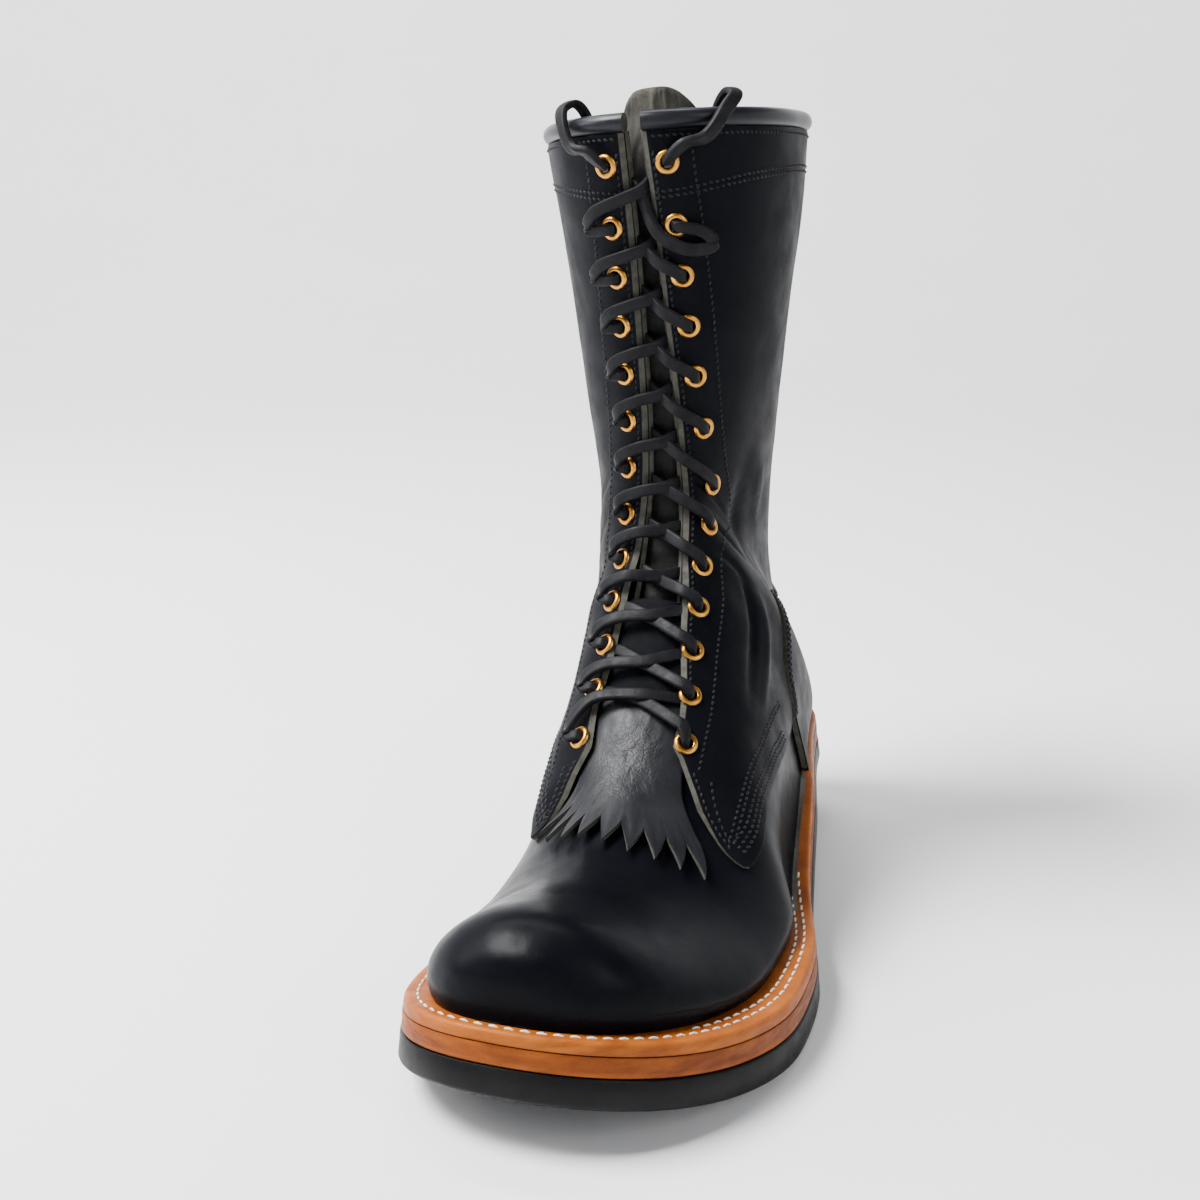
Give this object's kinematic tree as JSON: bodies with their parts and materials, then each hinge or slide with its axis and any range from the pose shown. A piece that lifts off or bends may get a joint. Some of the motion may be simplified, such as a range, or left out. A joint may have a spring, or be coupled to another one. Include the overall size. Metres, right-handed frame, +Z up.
{
  "type": "tall kiltie lace-up boot",
  "caption": "Tall black leather lace-up boot with a fringed kiltie over the vamp, brass eyelets, a rolled collar, a stitched tan welt and a stacked heel; worn on the left foot.",
  "frame": {"origin": "middle of the heel's resting face, on the floor", "axes": "toe towards -Y, outer side of the foot towards +X, +Z up"},
  "size_m": [0.1378, 0.3111, 0.3014],
  "materials": {
    "upper_leather": "smooth, softly glossy",
    "sole_leather": "waxed cut edge",
    "insole_leather": "plain",
    "rubber": "matt",
    "brass": "polished",
    "lace_leather": "matt grain"
  },
  "bodies": {
    "root": {"upper": "upper_leather", "quarter_lateral": "upper_leather", "quarter_medial": "upper_leather", "heel_counter": "upper_leather", "kiltie": "upper_leather", "collar_roll": "upper_leather", "tongue": "upper_leather", "midsole": "sole_leather", "welt": "sole_leather", "heel_stack": "sole_leather", "insole": "insole_leather", "outsole": "rubber", "heel_lift": "rubber", "eyelet_lateral_01": "brass", "eyelet_lateral_02": "brass", "eyelet_lateral_03": "brass", "eyelet_lateral_04": "brass", "eyelet_lateral_05": "brass", "eyelet_lateral_06": "brass", "eyelet_lateral_07": "brass", "eyelet_lateral_08": "brass", "eyelet_lateral_09": "brass", "eyelet_lateral_10": "brass", "eyelet_lateral_11": "brass", "eyelet_lateral_12": "brass", "eyelet_lateral_13": "brass", "eyelet_medial_01": "brass", "eyelet_medial_02": "brass", "eyelet_medial_03": "brass", "eyelet_medial_04": "brass", "eyelet_medial_05": "brass", "eyelet_medial_06": "brass", "eyelet_medial_07": "brass", "eyelet_medial_08": "brass", "eyelet_medial_09": "brass", "eyelet_medial_10": "brass", "eyelet_medial_11": "brass", "eyelet_medial_12": "brass", "eyelet_medial_13": "brass", "lace": "lace_leather", "lace_end_lateral": "lace_leather", "lace_end_medial": "lace_leather"}
  },
  "joints": []
}
